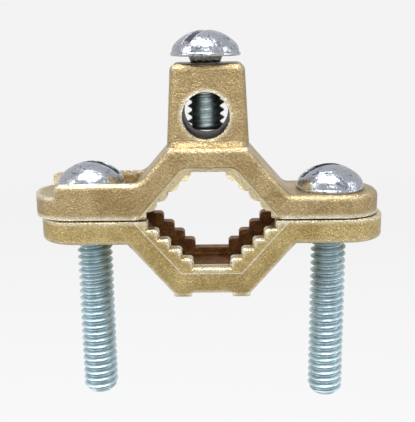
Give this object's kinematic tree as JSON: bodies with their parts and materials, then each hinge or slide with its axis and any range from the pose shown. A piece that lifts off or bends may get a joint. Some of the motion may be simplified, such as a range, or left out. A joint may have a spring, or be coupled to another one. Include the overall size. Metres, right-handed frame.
{
  "type": "earth rod clamp",
  "caption": "Cast earth rod clamp: toothed jaws drawn together by side screws grip a ground rod or pipe, and a drilled tower with a set screw holds the earthing conductor.",
  "frame": {"origin": "centre of the rod opening: half way between the two clamp screws, in the plane where the jaws part, half way through the jaws", "axes": "+Y along the rod, +Z along the clamp screws towards their heads and the conductor tower, +X from the left screw to the right screw"},
  "size_m": [0.0594, 0.0146, 0.0648],
  "materials": {
    "upper_casting": "fine as-cast grain with polished edges",
    "lower_casting": "fine as-cast grain with polished edges",
    "left_screw": "bright zinc plate",
    "right_screw": "bright zinc plate",
    "conductor_screw": "bright zinc plate"
  },
  "bodies": {
    "upper_jaw": {"upper_jaw": "upper_casting"},
    "lower_jaw": {"lower_jaw": "lower_casting"},
    "left_screw": {"left_clamp_screw": "left_screw"},
    "right_screw": {"right_clamp_screw": "right_screw"},
    "conductor_screw": {"conductor_screw": "conductor_screw"}
  },
  "joints": [
    {"name": "jaw_slide", "type": "slide", "parent": "upper_jaw", "child": "lower_jaw", "axis": [0, 0, -1], "range_m": [0, 0.028]},
    {"name": "left_screw_turn", "type": "hinge", "parent": "upper_jaw", "child": "left_screw", "pos_m": [-0.02055, 0, 0], "axis": [0, 0, 1], "range_deg": [0, 7938]},
    {"name": "right_screw_turn", "type": "hinge", "parent": "upper_jaw", "child": "right_screw", "pos_m": [0.02055, 0, 0], "axis": [0, 0, 1], "range_deg": [0, 7938]},
    {"name": "conductor_screw_slide", "type": "slide", "parent": "upper_jaw", "child": "conductor_screw", "axis": [0, 0, 1], "range_m": [0, 0.0065]}
  ],
  "couplings": [
    {"joint": "left_screw_turn", "follows": "jaw_slide", "rad_per_m": 4947.4},
    {"joint": "right_screw_turn", "follows": "jaw_slide", "rad_per_m": 4947.4}
  ]
}
